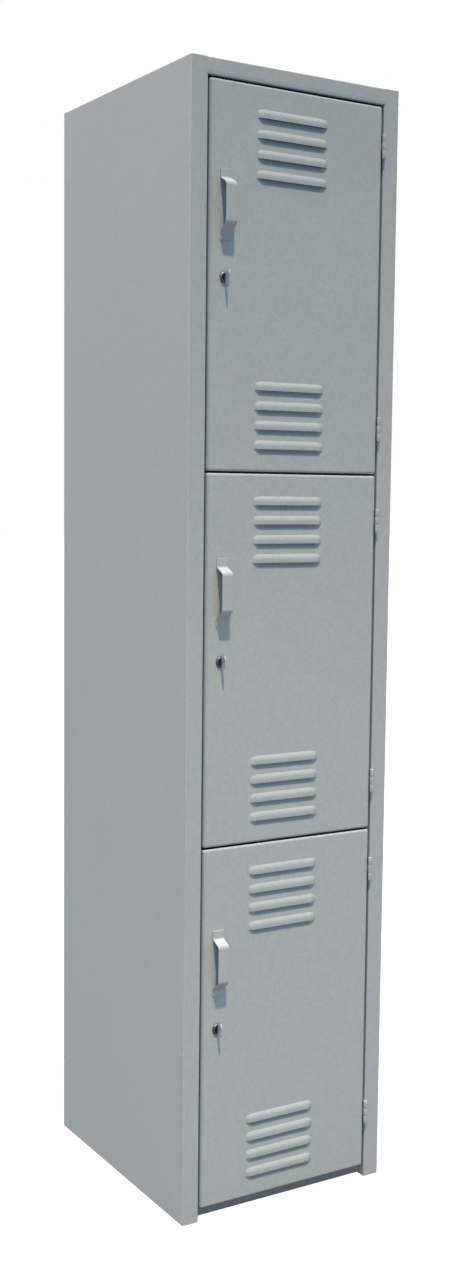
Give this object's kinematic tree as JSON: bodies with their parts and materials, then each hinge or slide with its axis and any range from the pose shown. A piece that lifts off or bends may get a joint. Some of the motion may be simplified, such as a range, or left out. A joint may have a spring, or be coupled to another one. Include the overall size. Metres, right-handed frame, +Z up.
{
  "type": "locker cabinet",
  "caption": "Narrow sheet-steel locker in tiers, each compartment closed by a louvred door with a strap handle, a cam lock and butt hinges.",
  "frame": {"origin": "on the floor, under the middle of the whole locker with its handles", "axes": "+X to the right as one faces the doors, +Y from the doors to the back, +Z up"},
  "size_m": [0.38, 0.47, 1.8],
  "materials": {
    "cabinet_enamel": "light grey baked enamel, satin",
    "door_enamel": "light grey baked enamel, satin",
    "lock_chrome": "bright plated die-casting",
    "zinc_steel": "zinc-plated steel, dull",
    "key_nickel": "nickel-plated steel, worn"
  },
  "bodies": {
    "cabinet": {"left_side_panel": "cabinet_enamel", "right_side_panel": "cabinet_enamel", "back_panel": "cabinet_enamel", "top_panel": "cabinet_enamel", "upper_shelf": "cabinet_enamel", "lower_shelf": "cabinet_enamel", "bottom_panel": "cabinet_enamel", "top_hinge_frame_leaves": "cabinet_enamel", "top_hinge_pins": "cabinet_enamel", "middle_hinge_frame_leaves": "cabinet_enamel", "middle_hinge_pins": "cabinet_enamel", "bottom_hinge_frame_leaves": "cabinet_enamel", "bottom_hinge_pins": "cabinet_enamel"},
    "top_door_body": {"top_door": "door_enamel", "top_handle": "door_enamel", "top_hinge_door_leaves": "door_enamel", "top_lock_housing": "lock_chrome", "top_lock_nut": "zinc_steel"},
    "top_plug_body": {"top_lock_plug": "lock_chrome", "top_lock_cam": "zinc_steel", "top_cam_screw": "zinc_steel"},
    "top_key_body": {"top_key": "key_nickel"},
    "middle_door_body": {"middle_door": "door_enamel", "middle_handle": "door_enamel", "middle_hinge_door_leaves": "door_enamel", "middle_lock_housing": "lock_chrome", "middle_lock_nut": "zinc_steel"},
    "middle_plug_body": {"middle_lock_plug": "lock_chrome", "middle_lock_cam": "zinc_steel", "middle_cam_screw": "zinc_steel"},
    "middle_key_body": {"middle_key": "key_nickel"},
    "bottom_door_body": {"bottom_door": "door_enamel", "bottom_handle": "door_enamel", "bottom_hinge_door_leaves": "door_enamel", "bottom_lock_housing": "lock_chrome", "bottom_lock_nut": "zinc_steel"},
    "bottom_plug_body": {"bottom_lock_plug": "lock_chrome", "bottom_lock_cam": "zinc_steel", "bottom_cam_screw": "zinc_steel"},
    "bottom_key_body": {"bottom_key": "key_nickel"}
  },
  "joints": [
    {"name": "top_door_hinge", "type": "hinge", "parent": "cabinet", "child": "top_door_body", "pos_m": [0.16, -0.2186, 1.48058], "axis": [0, 0, 1], "range_deg": [0, 180]},
    {"name": "top_lock_turn", "type": "hinge", "parent": "top_door_body", "child": "top_plug_body", "pos_m": [-0.13, -0.215, 1.48058], "axis": [0, 1, 0], "range_deg": [0, 90]},
    {"name": "top_key_pull", "type": "slide", "parent": "top_plug_body", "child": "top_key_body", "axis": [0, -1, 0], "range_m": [0, 0.03]},
    {"name": "middle_door_hinge", "type": "hinge", "parent": "cabinet", "child": "middle_door_body", "pos_m": [0.16, -0.2186, 0.89575], "axis": [0, 0, 1], "range_deg": [0, 180]},
    {"name": "middle_lock_turn", "type": "hinge", "parent": "middle_door_body", "child": "middle_plug_body", "pos_m": [-0.13, -0.215, 0.89575], "axis": [0, 1, 0], "range_deg": [0, 90]},
    {"name": "middle_key_pull", "type": "slide", "parent": "middle_plug_body", "child": "middle_key_body", "axis": [0, -1, 0], "range_m": [0, 0.03]},
    {"name": "bottom_door_hinge", "type": "hinge", "parent": "cabinet", "child": "bottom_door_body", "pos_m": [0.16, -0.2186, 0.31092], "axis": [0, 0, 1], "range_deg": [0, 180]},
    {"name": "bottom_lock_turn", "type": "hinge", "parent": "bottom_door_body", "child": "bottom_plug_body", "pos_m": [-0.13, -0.215, 0.31092], "axis": [0, 1, 0], "range_deg": [0, 90]},
    {"name": "bottom_key_pull", "type": "slide", "parent": "bottom_plug_body", "child": "bottom_key_body", "axis": [0, -1, 0], "range_m": [0, 0.03]}
  ]
}
